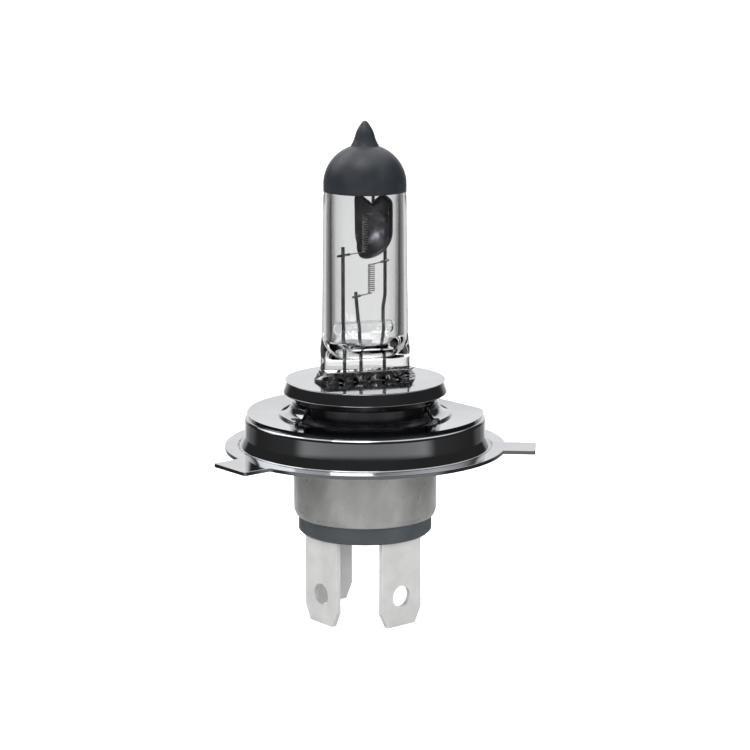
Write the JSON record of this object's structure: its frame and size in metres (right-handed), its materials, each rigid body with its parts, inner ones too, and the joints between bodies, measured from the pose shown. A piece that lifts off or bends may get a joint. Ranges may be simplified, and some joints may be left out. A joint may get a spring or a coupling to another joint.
{
  "type": "headlight bulb",
  "caption": "Halogen headlight bulb: round glass with black top, shielded twin filaments, lugged focus ring on a sleeve, and flat blade terminals.",
  "frame": {"origin": "on the lamp axis, in the plane of the glass-side face of the focus ring brim, where the lamp seats", "axes": "+Z along the lamp axis toward the glass tip; -Y toward the wide reference lug; blades face +X, -X and -Y"},
  "size_m": [0.043, 0.0472, 0.0762],
  "materials": {
    "glass": "clear, fire polished",
    "black_coat": "satin heat-proof black coating on glass",
    "shield_steel": "dark, glossy, pressed",
    "tungsten": "drawn tungsten wire",
    "lead_metal": "dark drawn molybdenum",
    "clip_steel": "spring steel, dark",
    "bright_steel": "polished, plated",
    "satin_steel": "satin, drawn",
    "insulator_plastic": "moulded, dark grey",
    "terminal_metal": "satin tin plate",
    "nickel_wire": "drawn nickel wire"
  },
  "bodies": {
    "root": {"base_sleeve": "satin_steel", "black_top_coat": "black_coat", "burner_disc": "bright_steel", "common_lead": "lead_metal", "common_leg_sleeve": "lead_metal", "common_tail_wire": "nickel_wire", "common_terminal": "terminal_metal", "dip_filament": "tungsten", "dip_lead": "lead_metal", "dip_leg_sleeve": "lead_metal", "dip_shield": "shield_steel", "dip_tail_wire": "nickel_wire", "dip_terminal": "terminal_metal", "focus_ring": "bright_steel", "glass_bridge": "glass", "glass_envelope": "glass", "insulator": "insulator_plastic", "main_filament": "tungsten", "main_lead": "lead_metal", "main_leg_sleeve": "lead_metal", "main_tail_wire": "nickel_wire", "main_terminal": "terminal_metal", "pinch_clip_front": "clip_steel", "pinch_clip_rear": "clip_steel", "shield_leg_sleeve": "lead_metal"}
  },
  "joints": []
}
